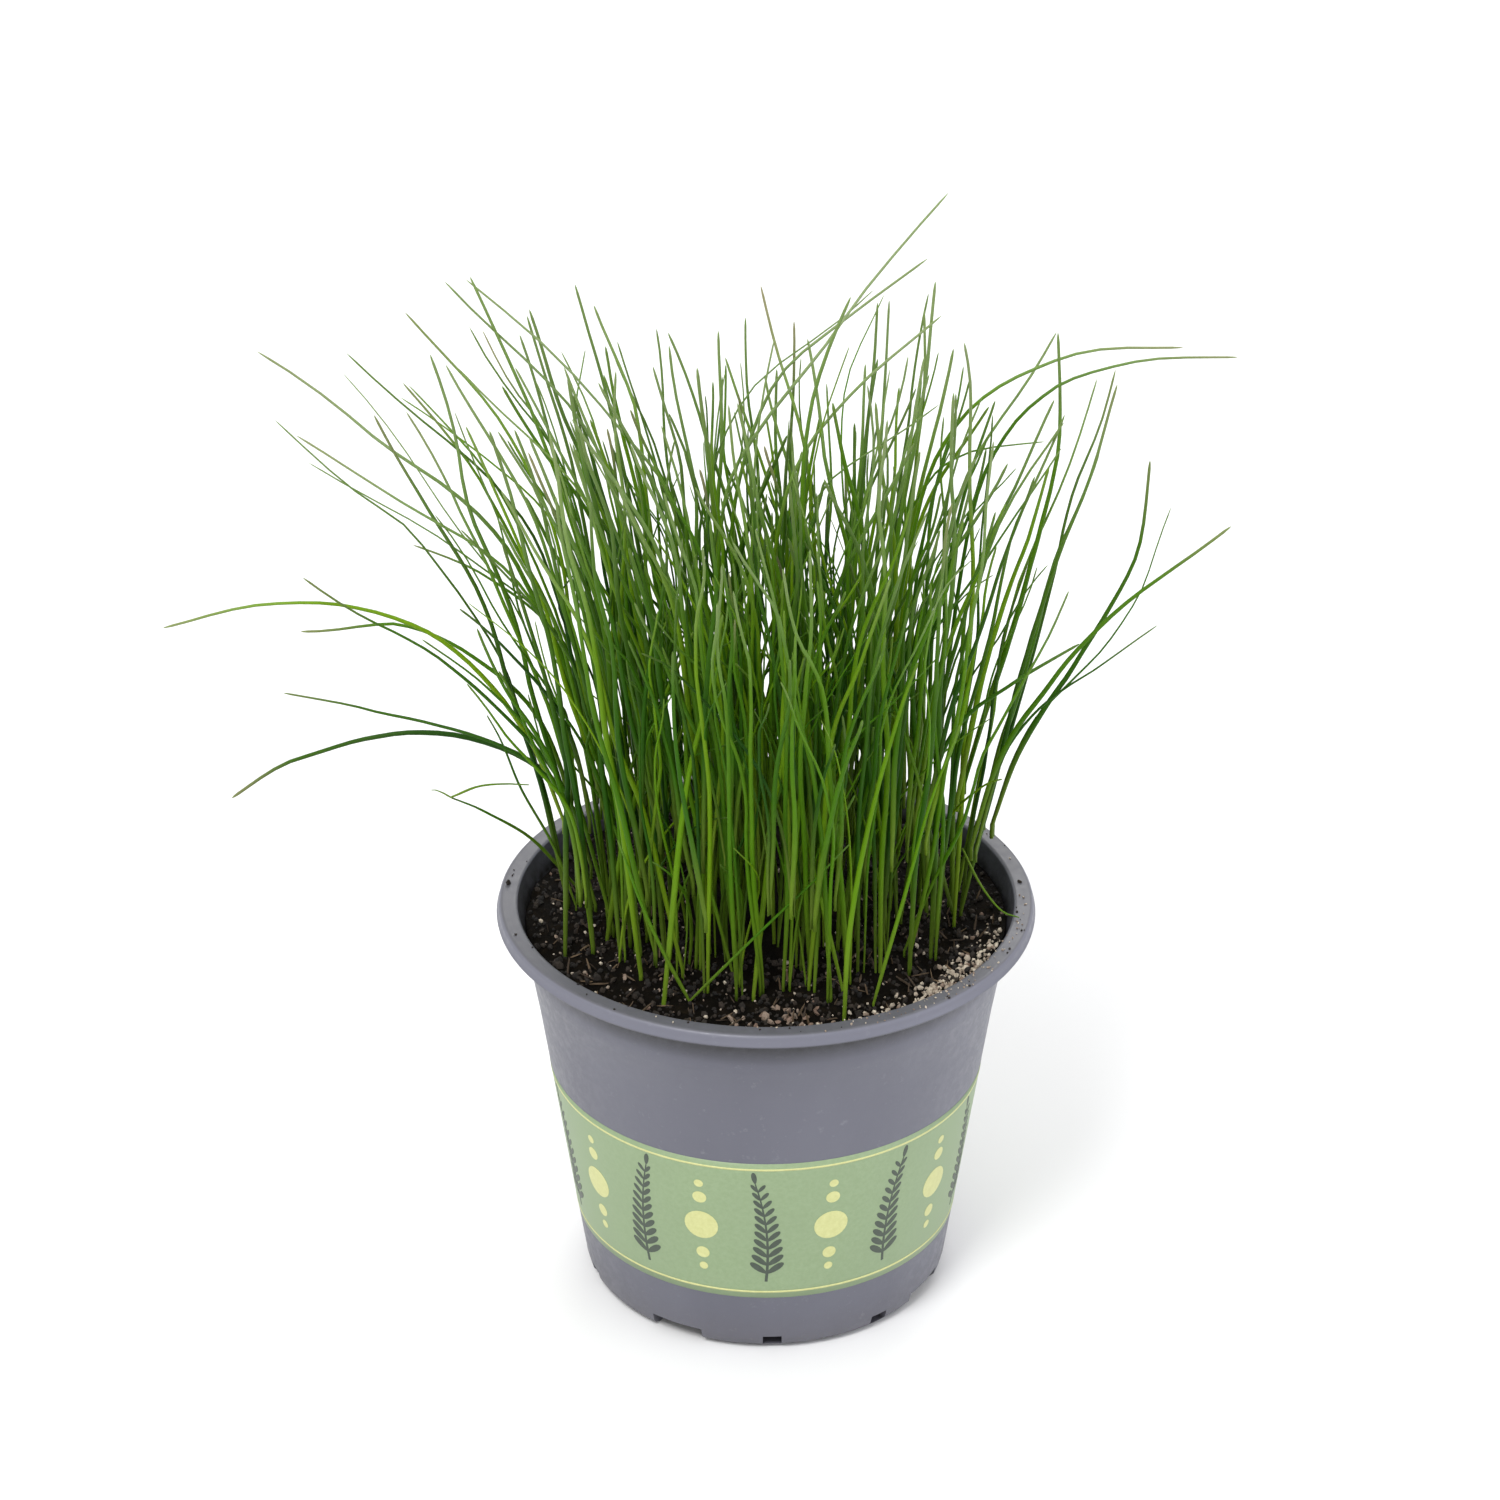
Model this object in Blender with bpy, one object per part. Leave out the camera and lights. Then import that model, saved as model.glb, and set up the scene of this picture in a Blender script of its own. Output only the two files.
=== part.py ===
"""Potted chives: a moulded nursery pot, its block of soil, and a clump of sown chive plants.

Metres, +Z up. The pot stands on Z = 0 with its axis on the Z axis; the front is towards -Y.
Every chive plant is one grown piece: a bulb in a pit in the soil, with its leaves.
"""

import math
import random

import bmesh
import bpy
import numpy as np
from mathutils import Matrix, Vector, noise

MM = 0.001
GAP = 0.3 * MM                       # room between pieces that touch in the real thing

# Pot
POT_HEIGHT = 102 * MM
RIM_RADIUS = 65 * MM                 # outside of the rim, which turns over into a lip
RIM_DROP = 3.2 * MM                  # depth of the lip
RIM_ROUND = 1.2 * MM
RIM_INNER_RADIUS = 59.8 * MM
WALL = 0.9 * MM
WALL_FOOT = (45.1 * MM, 4 * MM)      # radius and height where the straight wall starts
WALL_BEND = (55.3 * MM, 74.5 * MM)   # the wall flares a little more above this
WALL_TOP = (57.9 * MM, 90 * MM)
WALL_FLARE = (58.9 * MM, 95 * MM)
FOOT_OUTER = 42.4 * MM
FOOT_INNER = 38.6 * MM
BASE_LIFT = 1.9 * MM                 # underside of the floor above the ground
TURN_STEPS = 60

# Openings through the foot: width, and the heights of the lower and upper edge. Windows and nicks
# take turns round the foot, except where one of the arches is.
ARCH = (13.5 * MM, -2 * MM, 4.3 * MM)
WINDOW = (4.6 * MM, 1.3 * MM, 4.1 * MM)
NICK = (2.6 * MM, -2 * MM, 1.5 * MM)
FOOT_CUT = 11 * MM                   # depth of the openings along the radius
ARCHES = 4
WINDOWS = 10
FIRST_ARCH = -29                     # degrees to the right of the front
FIRST_WINDOW = 2
ARCH_ROOM = 14                       # degrees either side of an arch with nothing else

DRAIN_SLOTS = 10
DRAIN_SLOT = (9 * MM, 3.4 * MM)      # length and width of the slots through the floor
DRAIN_SLOT_RADIUS = 30 * MM

# Soil
SOIL_TOP = 96.4 * MM
SOIL_RINGS = 6
SOIL_BUMP = 0.8 * MM
SOIL_BUMP_SCALE = 90                 # bumps per metre, roughly

# Chive plants
PLANTS = 58
LEAVES_PER_PLANT = 4
PATCH_CENTRE = (1.5 * MM, 2.5 * MM)
PATCH_HALF = (50 * MM, 43 * MM)
PLANT_SPACING = 11.6 * MM
PATCH_JITTER = 0.7 * MM
BULB_WIDTH = 6.4 * MM
BULB_TOP = 97.8 * MM
BULB_DEPTH = 5.2 * MM
BULB_TAPER = 0.72
LEAF_WIDTH = 1.5 * MM                # across a leaf at its foot
LEAF_TIP_WIDTH = 0.5 * MM
LEAF_STEPS = 4
STRAY_STEPS = 7
LEAF_LENGTH = (82 * MM, 158 * MM, 145 * MM)    # shortest, longest and commonest
LEAN_MIDDLE = -3.0                   # degrees towards +X in the middle of the patch
LEAN_SPREAD = 11.5                   # degrees more, outwards, at the patch's edge
LEAN_SCATTER = 6.0
MOST_LEAN = 18                       # degrees
LEAF_BEND = (13, 8)                  # degrees from foot to tip: middle and scatter
LEAF_SWAY = 2.5 * MM                 # scatter of a leaf's sideways bow
LEAF_FULLNESS = 0.38                 # share of its length for which a leaf keeps its foot's lean
STRAY_FULLNESS = 0.50                # the same for the leaves set by hand
PARTING = (5 * MM, 13 * MM, 0.15)    # X, half width and depth of the dip in the clump's top
BACK_DIP = 0.05                      # share by which the leaves at the very back are shorter
LEAF_TRIES = 400
SHORTEST_SHARE = 0.5                 # a leaf that finds no room is made shorter, down to this share
STRAY_SWAYS = (0, 2, -2, 4, -4, 6, -6, 8, -8)    # bows in mm to try for a stray leaf
GRID_REACH = 6                       # rows of planting sites on each side of the middle
SEED = 20

# Leaves that lean far out of the clump, set by hand in millimetres and degrees:
# foot x, y; tip x, y, z; lean from upright at the foot and at the tip.
STRAY_LEAVES = [
    (-44, 2, -141, 0, 174, 2, 114),
    (-42, -4, -107, -6, 190, 0, 50),
    (-43, 8, -110, 10, 168, 2, 92),
    (-44, -8, -113, -6, 160, -4, 86),
    (-42, 14, -129, 12, 122, -2, 138),
    (-43, -14, -62, -14, 170, -4, 24),
    (-48, -19, -60, -20, 206, -2, 16),
    (-44, -22, -66, -24, 186, 0, 22),
    (-38, 10, -117, 14, 238, 6, 54),
    (-40, -2, -107, -4, 225, 4, 58),
    (-10, 20, -74, 22, 252, 8, 44),
    (-28, 16, -68, 20, 254, 10, 22),
    (-32, 4, -82, 6, 251, 14, 38),
    (-36, 22, -85, 28, 224, 14, 38),
    (-34, -8, -68, -10, 230, 12, 20),
    (-40, 20, -84, 26, 183, 10, 78),
    (-38, -16, -70, -22, 190, 10, 44),
    (-14, 12, 41, 16, 276, 0, 42),
    (-2, 22, 37, 26, 256, 2, 58),
    (10, 12, 40, 16, 246, 0, 56),
    (30, 8, 19, 8, 254, 2, -24),
    (46, 14, 67, 18, 241, 8, -2),
    (28, 20, 97, 28, 233, 4, 95),
    (38, 14, 109, 20, 234, 6, 102),
    (48, 8, 77, 10, 215, 6, 14),
    (50, 2, 88, 2, 216, 2, 4),
    (48, -8, 106, -10, 205, 8, 48),
    (44, -16, 72, -16, 178, -4, 62),
]


def finish_object(name, mesh_maker, material, parent):
    """Turns a filled bmesh into a named object with its material, under the parent."""
    mesh = bpy.data.meshes.new(name)
    mesh_maker.to_mesh(mesh)
    mesh_maker.free()
    mesh.materials.append(material)
    obj = bpy.data.objects.new(name, mesh)
    bpy.context.collection.objects.link(obj)
    obj.parent = parent
    return obj


def make_material(name, colour, roughness):
    material = bpy.data.materials.new(name)
    material.use_nodes = True
    shader = material.node_tree.nodes["Principled BSDF"]
    shader.inputs["Base Color"].default_value = (*colour, 1)
    shader.inputs["Roughness"].default_value = roughness
    shader.inputs["Metallic"].default_value = 0
    return material


def turn(outline, steps):
    """Turns an outline of (radius, height) points, from axis to axis, into a solid."""
    maker = bmesh.new()
    points = [maker.verts.new((radius, 0, height)) for radius, height in outline]
    edges = [maker.edges.new(pair) for pair in zip(points, points[1:])]
    bmesh.ops.spin(maker, geom=points + edges, cent=(0, 0, 0), axis=(0, 0, 1),
                   angle=2 * math.pi, steps=steps)
    bmesh.ops.remove_doubles(maker, verts=maker.verts, dist=0.01 * MM)
    bmesh.ops.recalc_face_normals(maker, faces=maker.faces)
    return maker


def add_box(maker, size, centre, turn_angle=0.0, out=0.0):
    """Adds a box to the maker: centre is moved out along its own X, then turned about Z."""
    place = (Matrix.Rotation(turn_angle, 4, "Z")
             @ Matrix.Translation((out, 0, 0)) @ Matrix.Diagonal((*size, 1)))
    bmesh.ops.create_cube(maker, size=1, matrix=Matrix.Translation(centre) @ place)


def cut(obj, maker, name):
    """Cuts everything in the maker out of the object, with a hidden cutter."""
    cutter = finish_object(name, maker, obj.data.materials[0], obj.parent)
    cutter.hide_render = True
    cutter.display_type = "WIRE"
    boolean = obj.modifiers.new(name, "BOOLEAN")
    boolean.operation = "DIFFERENCE"
    boolean.solver = "EXACT"
    boolean.object = cutter


def arc(centre, radius, start, end, count):
    """Points of an arc in the (radius, height) plane; angles in degrees."""
    angles = [math.radians(start + (end - start) * i / (count - 1)) for i in range(count)]
    return [(centre[0] + radius * math.cos(a), centre[1] + radius * math.sin(a)) for a in angles]


def inset(point, distance):
    """A point of the outer wall, brought in towards the axis."""
    return (point[0] - distance, point[1])


def pot_outline():
    """The pot's section, from the middle of its underside round to the middle of its floor."""
    floor_top = BASE_LIFT + WALL
    outer_round = (RIM_RADIUS - RIM_ROUND, POT_HEIGHT - RIM_ROUND)
    inner_round = (RIM_INNER_RADIUS + WALL, POT_HEIGHT - WALL)
    return [
        (0, BASE_LIFT),
        (FOOT_INNER - BASE_LIFT / 2, BASE_LIFT),
        (FOOT_INNER, 0),
        (FOOT_OUTER, 0),
        (FOOT_OUTER + 1.2 * MM, 0.7 * MM),
        (WALL_FOOT[0] - 0.5 * MM, WALL_FOOT[1] / 2),
        WALL_FOOT,
        WALL_BEND,
        WALL_TOP,
        WALL_FLARE,
        (RIM_INNER_RADIUS + WALL - 0.3 * MM, POT_HEIGHT - 3 * WALL),
        inner_round,
        (RIM_RADIUS - WALL, POT_HEIGHT - WALL),
        (RIM_RADIUS - WALL, POT_HEIGHT - RIM_DROP),
        (RIM_RADIUS - 0.2 * MM, POT_HEIGHT - RIM_DROP),
        (RIM_RADIUS, POT_HEIGHT - RIM_DROP + 0.3 * MM),
        *arc(outer_round, RIM_ROUND, 0, 90, 4),
        *arc(inner_round, WALL, 90, 180, 4),
        (RIM_INNER_RADIUS - 0.4 * MM, POT_HEIGHT - 3 * WALL),
        inset(WALL_FLARE, WALL),
        inset(WALL_TOP, WALL),
        inset(WALL_BEND, WALL),
        (WALL_FOOT[0] - WALL, WALL_FOOT[1] + 1 * MM),
        (WALL_FOOT[0] - 3 * MM, floor_top),
        (0, floor_top),
    ]


def foot_openings():
    """The openings through the foot: (width, low, high, degrees to the right of the front)."""
    arches = [FIRST_ARCH + 360 / ARCHES * index for index in range(ARCHES)]
    openings = [(*ARCH, place) for place in arches]
    for index in range(2 * WINDOWS):
        place = FIRST_WINDOW + index * 180 / WINDOWS
        size = NICK if index % 2 else WINDOW
        if all(abs((place - arch + 180) % 360 - 180) > ARCH_ROOM for arch in arches):
            openings.append((*size, place))
    return openings


def build_pot(parent):
    material = make_material("pot_plastic", (0.15, 0.155, 0.18), 0.42)
    pot = finish_object("pot", turn(pot_outline(), TURN_STEPS), material, parent)

    drains = bmesh.new()
    foot_middle = (FOOT_INNER + WALL_FOOT[0]) / 2
    for width, low, high, place in foot_openings():
        add_box(drains, (FOOT_CUT, width, high - low), (0, 0, (low + high) / 2),
                math.radians(place - 90), out=foot_middle)
    length, width = DRAIN_SLOT
    for index in range(DRAIN_SLOTS):
        add_box(drains, (length, width, 6 * WALL), (0, 0, BASE_LIFT + WALL / 2),
                2 * math.pi * index / DRAIN_SLOTS, out=DRAIN_SLOT_RADIUS)
    cut(pot, drains, "drain_cutter")
    return pot


def bumpy(x, y):
    """Height of the soil at a place."""
    place = Vector((x, y, 0)) * SOIL_BUMP_SCALE
    return SOIL_TOP + SOIL_BUMP * noise.noise(place)


def build_soil(parent, sites):
    bottom = BASE_LIFT + WALL + GAP
    room = WALL + GAP
    top_radius = WALL_FLARE[0] - room
    outline = [
        (0, bottom),
        (WALL_FOOT[0] - 3.6 * MM, bottom),
        (WALL_FOOT[0] - room, WALL_FOOT[1] + 1.6 * MM),
        inset(WALL_BEND, room),
        inset(WALL_TOP, room),
        (top_radius, WALL_FLARE[1]),
    ]
    rings = [(top_radius * (SOIL_RINGS - i) / SOIL_RINGS, SOIL_TOP) for i in range(SOIL_RINGS + 1)]
    maker = turn(outline + rings, TURN_STEPS)
    for vert in maker.verts:
        if vert.co.z > SOIL_TOP - 0.1 * MM:
            vert.co.z = bumpy(vert.co.x, vert.co.y)
    soil = finish_object("soil", maker, make_material("soil", (0.018, 0.013, 0.010), 0.95), parent)

    pits = bmesh.new()
    pit_width = BULB_WIDTH + 2 * GAP
    pit_bottom = BULB_TOP - BULB_DEPTH - GAP
    pit_height = 2 * (SOIL_TOP - pit_bottom)
    for x, y, turned in sites:
        add_box(pits, (pit_width, pit_width, pit_height), (x, y, pit_bottom + pit_height / 2), turned)
    cut(soil, pits, "pit_cutter")
    return soil


def plant_sites():
    """Where each bulb sits, and how it is turned: staggered rows, a little out of line."""
    rng = random.Random(SEED)
    rows = range(-GRID_REACH, GRID_REACH + 1)
    grid = [((column + row % 2 / 2) * PLANT_SPACING, row * PLANT_SPACING * math.sqrt(3) / 2)
            for row in rows for column in rows]
    grid.sort(key=lambda p: (round(math.hypot(p[0] / PATCH_HALF[0], p[1] / PATCH_HALF[1]), 4), p))
    sites = []
    for x, y in grid[:PLANTS]:
        x += PATCH_CENTRE[0] + rng.uniform(-1, 1) * PATCH_JITTER
        y += PATCH_CENTRE[1] + rng.uniform(-1, 1) * PATCH_JITTER
        sites.append((x, y, rng.uniform(0, math.pi / 2)))
    return sites


def foot_of(site, index):
    """Centre of a corner of the bulb's top, where a leaf grows."""
    x, y, turned = site
    reach = (BULB_WIDTH - LEAF_WIDTH) / 2 * math.sqrt(2)
    angle = turned + math.pi / 4 + index * math.pi / 2
    return Vector((x + reach * math.cos(angle), y + reach * math.sin(angle), BULB_TOP))


def lean_direction(heading, lean):
    return Vector((math.sin(lean) * math.cos(heading), math.sin(lean) * math.sin(heading),
                   math.cos(lean)))


def leaf_curve(foot, tip, foot_lean, tip_lean, sway, fullness, steps):
    """Points of a leaf from its foot to its tip; the leans are from upright, towards the tip."""
    across = tip - foot
    heading = math.atan2(across.y, across.x)
    side = Vector((-math.sin(heading), math.cos(heading), 0)) * sway
    reach = fullness * across.length
    first = foot + lean_direction(heading, foot_lean) * reach + side
    second = tip - lean_direction(heading, tip_lean) * reach + side
    points = []
    for step in range(steps + 1):
        t = step / steps
        u = 1 - t
        points.append(u ** 3 * foot + 3 * u * u * t * first + 3 * u * t * t * second + t ** 3 * tip)
    return points


def leaf_width(t):
    """Width of a leaf at a share t of its length."""
    return LEAF_TIP_WIDTH + (LEAF_WIDTH - LEAF_TIP_WIDTH) * (1 - t ** 2.2)


class Thicket:
    """The leaves placed so far, as thick segments, so that a new one can be kept clear of them."""

    def __init__(self):
        self.starts = np.zeros((0, 3))
        self.ends = np.zeros((0, 3))
        self.radii = np.zeros(0)

    @staticmethod
    def segments(points):
        array = np.array([tuple(p) for p in points])
        shares = np.linspace(0, 1, len(points))[:-1]
        radii = np.array([leaf_width(t) for t in shares]) / math.sqrt(2)
        return array[:-1], array[1:], radii

    def add(self, points):
        starts, ends, radii = self.segments(points)
        self.starts = np.vstack([self.starts, starts])
        self.ends = np.vstack([self.ends, ends])
        self.radii = np.concatenate([self.radii, radii])

    def is_clear(self, points):
        if not len(self.radii):
            return True
        starts, ends, radii = self.segments(points)
        along = (ends - starts)[:, None]
        other = (self.ends - self.starts)[None]
        apart = starts[:, None] - self.starts[None]
        a = (along * along).sum(-1)
        b = (along * other).sum(-1)
        c = (along * apart).sum(-1)
        e = (other * other).sum(-1)
        f = (other * apart).sum(-1)
        s = np.clip((b * f - c * e) / np.maximum(a * e - b * b, 1e-18), 0, 1)
        t = np.clip((b * s + f) / e, 0, 1)
        s = np.clip((b * t - c) / a, 0, 1)
        distance = np.linalg.norm(apart + s[..., None] * along - t[..., None] * other, axis=-1)
        return bool(np.all(distance > radii[:, None] + self.radii[None] + GAP))


def nearest_free_foot(sites, taken, x, y):
    """The (plant, corner) with no leaf yet whose foot is closest to a place."""
    free = [(plant, corner) for plant in range(PLANTS) for corner in range(LEAVES_PER_PLANT)
            if (plant, corner) not in taken]
    return min(free, key=lambda key: (foot_of(sites[key[0]], key[1]).xy - Vector((x, y))).length)


def grow_stray_leaves(sites, thicket):
    leaves = {}
    for x, y, tip_x, tip_y, tip_z, foot_lean, tip_lean in STRAY_LEAVES:
        key = nearest_free_foot(sites, leaves, x * MM, y * MM)
        tip = Vector((tip_x, tip_y, tip_z)) * MM
        for sway in STRAY_SWAYS:
            points = leaf_curve(foot_of(sites[key[0]], key[1]), tip, math.radians(foot_lean),
                                math.radians(tip_lean), sway * MM, STRAY_FULLNESS, STRAY_STEPS)
            if thicket.is_clear(points):
                break
        leaves[key] = points
        thicket.add(points)
    return leaves


def random_leaf(rng, foot, shorten):
    """A leaf that grows up and a little outwards; leaves near the parting are shorter."""
    out_x = (foot.x - PATCH_CENTRE[0]) / PATCH_HALF[0]
    out_y = (foot.y - PATCH_CENTRE[1]) / PATCH_HALF[1]
    lean_x = rng.gauss(LEAN_MIDDLE + LEAN_SPREAD * out_x, LEAN_SCATTER)
    lean_y = rng.gauss(LEAN_SPREAD * out_y, LEAN_SCATTER)
    heading = math.atan2(lean_y, lean_x)
    lean = math.radians(min(math.hypot(lean_x, lean_y), MOST_LEAN))
    bend = math.radians(rng.gauss(*LEAF_BEND))
    place, half, depth = PARTING
    dip = 1 - depth * math.exp(-((foot.x - place) / half) ** 2) - BACK_DIP * out_y
    length = rng.triangular(*LEAF_LENGTH) * shorten * dip
    tip = foot + lean_direction(heading, lean) * length
    sway = rng.gauss(0, LEAF_SWAY)
    return leaf_curve(foot, tip, lean - bend / 2, lean + bend, sway, LEAF_FULLNESS, LEAF_STEPS)


def grow_leaves(sites):
    """Every leaf's points by (plant, corner), each clear of the others."""
    rng = random.Random(SEED + 1)
    thicket = Thicket()
    leaves = grow_stray_leaves(sites, thicket)
    order = [(plant, corner) for plant in range(PLANTS) for corner in range(LEAVES_PER_PLANT)
             if (plant, corner) not in leaves]
    rng.shuffle(order)
    for plant, corner in order:
        foot = foot_of(sites[plant], corner)
        for attempt in range(LEAF_TRIES):
            shorten = 1 - (1 - SHORTEST_SHARE) * attempt / LEAF_TRIES
            points = random_leaf(rng, foot, shorten)
            if thicket.is_clear(points):
                break
        leaves[plant, corner] = points
        thicket.add(points)
    return leaves


def build_plant(number, site, leaves, material, parent):
    """A bulb with its leaves, as one mesh: each leaf is extruded from a corner of the bulb's top."""
    x, y, turned = site
    maker = bmesh.new()
    bmesh.ops.create_grid(maker, x_segments=3, y_segments=3, size=BULB_WIDTH / 2)
    inner = BULB_WIDTH / 2 - LEAF_WIDTH
    for vert in maker.verts:
        for axis in (0, 1):
            if abs(vert.co[axis]) < BULB_WIDTH / 3:
                vert.co[axis] = math.copysign(inner, vert.co[axis])
    rim = [edge for edge in maker.edges if edge.is_boundary]
    skirt = bmesh.ops.extrude_edge_only(maker, edges=rim)["geom"]
    for vert in (item for item in skirt if isinstance(item, bmesh.types.BMVert)):
        vert.co.xy = vert.co.xy * BULB_TAPER
        vert.co.z -= BULB_DEPTH
    lower = [item for item in skirt if isinstance(item, bmesh.types.BMEdge) and item.is_boundary]
    bmesh.ops.contextual_create(maker, geom=lower)
    place = Matrix.Translation((x, y, BULB_TOP)) @ Matrix.Rotation(turned, 4, "Z")
    bmesh.ops.transform(maker, matrix=place, verts=maker.verts)
    bmesh.ops.recalc_face_normals(maker, faces=maker.faces)

    for corner in range(LEAVES_PER_PLANT):
        points = leaves[number, corner]
        maker.faces.ensure_lookup_table()
        face = min(maker.faces, key=lambda item: (item.calc_center_median() - points[0]).length)
        tangent = Vector((0, 0, 1))
        spokes = [vert.co - points[0] for vert in face.verts]
        for step in range(1, len(points)):
            ahead = points[min(step + 1, len(points) - 1)] - points[step - 1]
            swing = tangent.rotation_difference(ahead)
            tangent = ahead.normalized()
            spokes = [swing @ spoke for spoke in spokes]
            scale = leaf_width(step / (len(points) - 1)) / LEAF_WIDTH
            face = bmesh.ops.extrude_discrete_faces(maker, faces=[face])["faces"][0]
            for vert, spoke in zip(face.verts, spokes):
                vert.co = points[step] + spoke * scale
    return finish_object(f"chive_plant_{number + 1:02d}", maker, material, parent)


def clear_scene():
    for obj in list(bpy.data.objects):
        bpy.data.objects.remove(obj, do_unlink=True)


def main():
    clear_scene()
    parent = bpy.data.objects.new("potted_chives", None)
    bpy.context.collection.objects.link(parent)
    sites = plant_sites()
    leaves = grow_leaves(sites)
    pot = build_pot(parent)
    soil = build_soil(parent, sites)
    leaf_material = make_material("chive_leaf", (0.045, 0.188, 0.010), 0.45)
    for number, site in enumerate(sites):
        build_plant(number, site, leaves, leaf_material, parent)
    for obj in (pot, soil):
        obj.data.shade_smooth()
        obj.data.set_sharp_from_angle(angle=math.radians(35))


main()
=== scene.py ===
import math
import random

import bmesh
import bpy
import numpy as np
from mathutils import Euler, Matrix, Vector, noise


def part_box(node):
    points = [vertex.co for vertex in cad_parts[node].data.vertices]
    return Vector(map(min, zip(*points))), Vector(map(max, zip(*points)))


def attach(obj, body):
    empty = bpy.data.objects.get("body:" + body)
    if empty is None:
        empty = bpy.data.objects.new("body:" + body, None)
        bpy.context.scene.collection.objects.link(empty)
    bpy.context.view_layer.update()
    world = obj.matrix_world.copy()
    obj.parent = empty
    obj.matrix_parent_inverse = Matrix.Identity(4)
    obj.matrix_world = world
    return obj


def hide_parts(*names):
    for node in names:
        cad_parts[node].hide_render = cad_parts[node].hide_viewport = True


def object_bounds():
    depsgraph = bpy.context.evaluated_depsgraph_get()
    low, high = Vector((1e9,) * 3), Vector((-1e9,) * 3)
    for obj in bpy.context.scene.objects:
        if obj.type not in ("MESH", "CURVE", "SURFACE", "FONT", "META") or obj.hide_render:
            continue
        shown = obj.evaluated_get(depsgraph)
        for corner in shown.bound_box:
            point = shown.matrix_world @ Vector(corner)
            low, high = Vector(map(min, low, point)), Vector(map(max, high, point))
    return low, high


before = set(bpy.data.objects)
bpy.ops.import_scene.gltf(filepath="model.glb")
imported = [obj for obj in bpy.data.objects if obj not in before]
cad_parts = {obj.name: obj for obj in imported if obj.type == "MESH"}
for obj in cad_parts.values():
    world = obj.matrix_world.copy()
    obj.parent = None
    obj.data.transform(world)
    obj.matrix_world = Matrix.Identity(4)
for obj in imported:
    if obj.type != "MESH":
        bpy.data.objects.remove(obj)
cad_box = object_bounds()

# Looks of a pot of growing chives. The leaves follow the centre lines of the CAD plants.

MM = 0.001
SEED = 7
noise.seed_set(SEED)                 # noise_vector starts from the clock without it

pot_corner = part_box("pot")[1]
PLANT_NODES = sorted(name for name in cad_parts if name.startswith("chive_plant"))

# Pot, as the CAD has it, read from the frame where it can be. A pair is a radius and a height.
POT_HEIGHT = pot_corner.z
RIM_RADIUS = pot_corner.x
RIM_DROP = 3.2 * MM
RIM_ROUND = 1.2 * MM
LIP_INSET = 0.45 * MM                # the lip's face stands back above the bead at its lower edge
RIM_INNER_RADIUS = RIM_RADIUS - 5.2 * MM
WALL = 0.9 * MM
WALL_FOOT = (45.1 * MM, 4 * MM)
WALL_BEND = (55.3 * MM, 74.5 * MM)
WALL_TOP = (57.9 * MM, 90 * MM)
WALL_FLARE = (58.9 * MM, 95 * MM)
WALL_SWELL = (59.5 * MM, 97.6 * MM)  # where the wall turns out to meet the rim
WALL_MIDDLE = 59.0 * MM              # middle of the wall's thickness there
FOOT_OUTER = 42.4 * MM
FOOT_INNER = 38.6 * MM
BASE_LIFT = 1.9 * MM
POT_STEPS = 240
STEP_LINE = 87 * MM                  # a faint step round the wall
FRONT = -math.pi / 2                 # the front of the pot, as an angle from +X

# Openings through the foot: width, and the heights of the lower and upper edge
ARCH = (13.5 * MM, -2 * MM, 4.3 * MM)
WINDOW = (4.6 * MM, 1.3 * MM, 4.1 * MM)
NICK = (2.6 * MM, -2 * MM, 1.5 * MM)
FOOT_CUT = 11 * MM
ARCHES = 4
WINDOWS = 10
FIRST_ARCH = -29                     # degrees to the right of the front
FIRST_WINDOW = 2
ARCH_ROOM = 14
DRAIN_SLOTS = 10
DRAIN_SLOT = (9 * MM, 3.4 * MM)
DRAIN_SLOT_RADIUS = 30 * MM

# Printed band
BAND_BOTTOM = 17 * MM
BAND_TOP = 59.5 * MM
BAND_RAISE = 0.05 * MM
PRINT_RAISE = 0.10 * MM
BAND_ROWS = 14
BAND_LINES = (("print_line_low", BAND_BOTTOM + 1.6 * MM), ("print_line_high", BAND_TOP - 2.2 * MM))
BAND_LINE_WIDTH = 0.6 * MM
BAND_REPEATS = 10
TWIG_STEPS = 12
DOT_COLUMN = ((13.5, 1.1), (9.2, 1.7), (0.5, 4.2), (-8.2, 1.7), (-12.5, 1.1))  # height, radius in mm
DOT_POINTS = 24

# Soil and what lies on it
SOIL_TOP = 96.4 * MM
SOIL_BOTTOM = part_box("soil")[0].z
SOIL_RADIUS = WALL_FLARE[0] - WALL
SOIL_GAP = 0.15 * MM                 # between the soil and the wall
SOIL_RINGS = 64
SOIL_STEPS = 240
HEAP_ANGLE = 52                      # degrees to the right of the front, where grit is heaped
PEAT_CRUMBS = 2600
PALE_GRAINS = 420
HEAP_GRAINS = 300
BROWN_CHIPS = 40
RIM_GRAINS = 90
RIM_CRUMBS = 46
BIG_RIM_CRUMBS = ((-62.4, 5.2, 0.9), (61.6, 6.0, 0.5))  # x, y and size in mm
FIBRES = 280

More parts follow.
